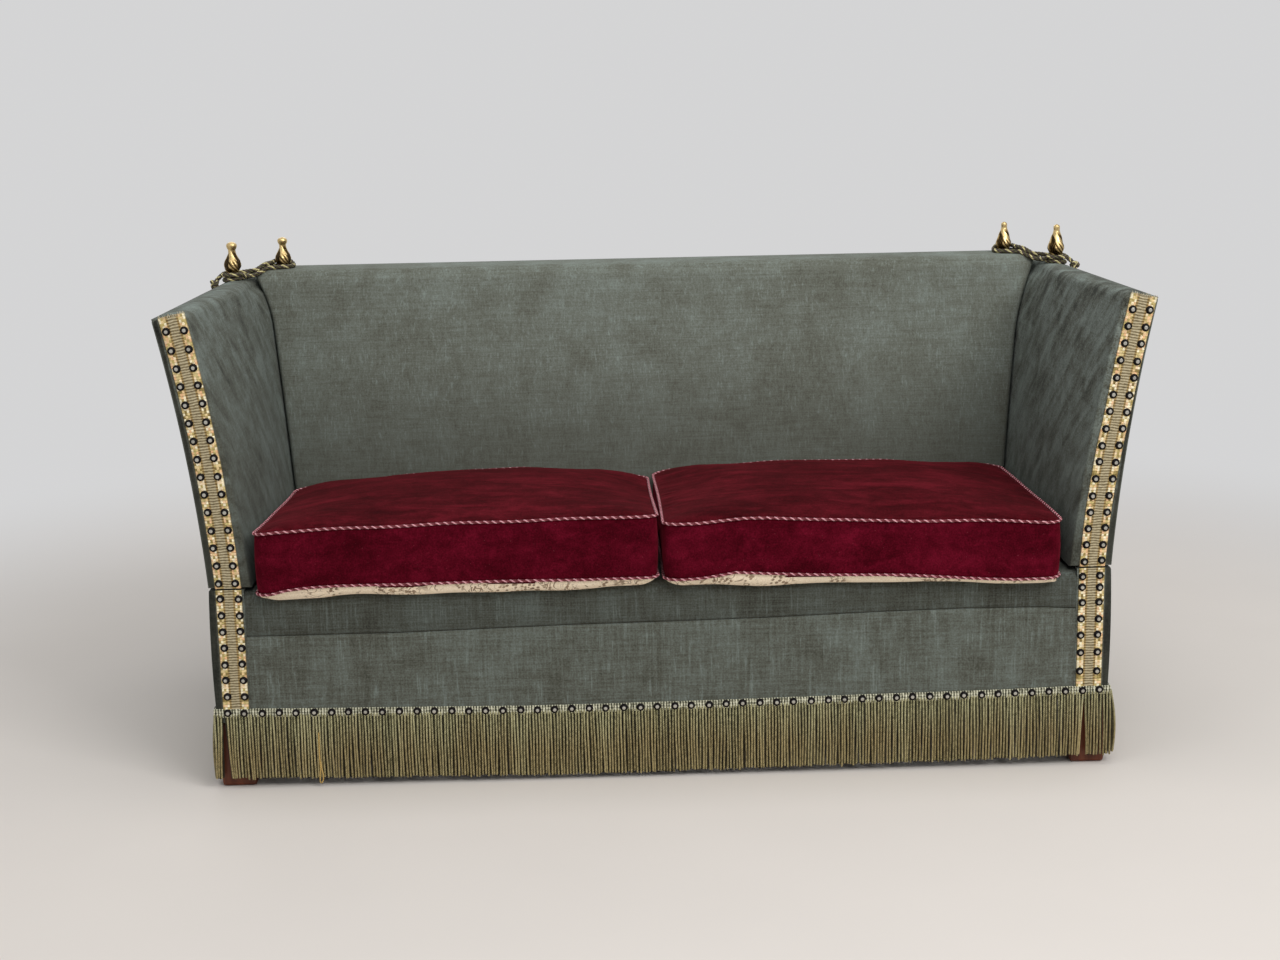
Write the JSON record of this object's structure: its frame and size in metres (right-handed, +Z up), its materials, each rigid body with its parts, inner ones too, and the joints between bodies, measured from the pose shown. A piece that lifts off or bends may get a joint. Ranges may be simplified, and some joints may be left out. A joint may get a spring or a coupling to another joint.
{
  "type": "two-seat sofa",
  "caption": "Upholstered two-seat settee with high flared drop arms tied to the back by cords, loose box cushions and a fringed base",
  "frame": {"origin": "middle of the floor under the settee, at the middle of its width and depth without the cords", "axes": "+X to the right seen from the front, +Y to the back, +Z up; the front faces -Y"},
  "size_m": [1.7138, 0.735, 0.9053],
  "materials": {
    "velour": "sage green velour, brushed",
    "velvet": "dark red velvet",
    "gimp": "gold and cream woven braid",
    "fringe": "olive twisted strands",
    "cord": "twisted olive and gold cord",
    "brass": "antique cast brass",
    "steel": "plain steel",
    "stained_wood": "red-brown stain, satin",
    "beech": "bare beech",
    "webbing": "woven jute",
    "lining": "black cotton"
  },
  "bodies": {
    "base": {"arm_sill_left": "velour", "arm_sill_right": "velour", "side_cover_left": "velour", "side_cover_right": "velour", "base_band_left": "gimp", "base_band_right": "gimp", "back_finial_left": "brass", "back_finial_right": "brass", "cord_winding_left": "cord", "cord_winding_right": "cord", "back_post_left": "beech", "back_post_right": "beech", "side_rail_left": "beech", "side_rail_right": "beech", "back_cover": "velour", "back_pad": "velour", "front_border": "velour", "seat_deck": "velour", "back_lower_rail": "beech", "back_top_rail": "beech", "centre_stretcher": "beech", "front_rail": "beech", "rear_rail": "beech", "fringe_front": "fringe", "fringe_rear": "fringe", "fringe_left": "fringe", "fringe_right": "fringe", "foot_front_left": "stained_wood", "foot_front_right": "stained_wood", "foot_rear_left": "stained_wood", "foot_rear_right": "stained_wood", "hinge_base_left_0": "steel", "hinge_base_left_1": "steel", "hinge_base_right_0": "steel", "hinge_base_right_1": "steel", "seat_webbing": "webbing", "dust_cover": "lining"},
    "arm_left": {"arm_frame_left": "beech", "arm_pad_left": "velour", "arm_cover_left": "velour", "arm_band_left": "gimp", "arm_finial_left": "brass", "hinge_arm_left_0": "steel", "hinge_arm_left_1": "steel"},
    "tassel_left": {"cord_tail_left": "cord", "tassel_left": "fringe"},
    "cushion_left": {"cushion_left": "velvet"},
    "arm_right": {"arm_frame_right": "beech", "arm_pad_right": "velour", "arm_cover_right": "velour", "arm_band_right": "gimp", "arm_finial_right": "brass", "hinge_arm_right_0": "steel", "hinge_arm_right_1": "steel"},
    "tassel_right": {"cord_tail_right": "cord", "tassel_right": "fringe"},
    "cushion_right": {"cushion_right": "velvet"}
  },
  "joints": [
    {"name": "arm_left_drop", "type": "hinge", "parent": "base", "child": "arm_left", "pos_m": [-0.7745, -0.3325, 0.36], "axis": [0, -1, 0], "range_deg": [0, 45], "deforming": ["cord_winding_left"]},
    {"name": "tassel_left_swing", "type": "hinge", "parent": "arm_left", "child": "tassel_left", "pos_m": [-0.83921, 0.21578, 0.814], "axis": [0, -1, 0], "range_deg": [-45, 0]},
    {"name": "cushion_left_lift", "type": "slide", "parent": "base", "child": "cushion_left", "axis": [0, 0, 1], "range_m": [0, 0.56]},
    {"name": "arm_right_drop", "type": "hinge", "parent": "base", "child": "arm_right", "pos_m": [0.7745, -0.3325, 0.36], "axis": [0, 1, 0], "range_deg": [0, 45], "deforming": ["cord_winding_right"]},
    {"name": "tassel_right_swing", "type": "hinge", "parent": "arm_right", "child": "tassel_right", "pos_m": [0.83921, 0.21578, 0.814], "axis": [0, 1, 0], "range_deg": [-45, 0]},
    {"name": "cushion_right_lift", "type": "slide", "parent": "base", "child": "cushion_right", "axis": [0, 0, 1], "range_m": [0, 0.56]}
  ],
  "couplings": [
    {"joint": "tassel_left_swing", "follows": "arm_left_drop", "ratio": -1},
    {"joint": "tassel_right_swing", "follows": "arm_right_drop", "ratio": -1}
  ]
}
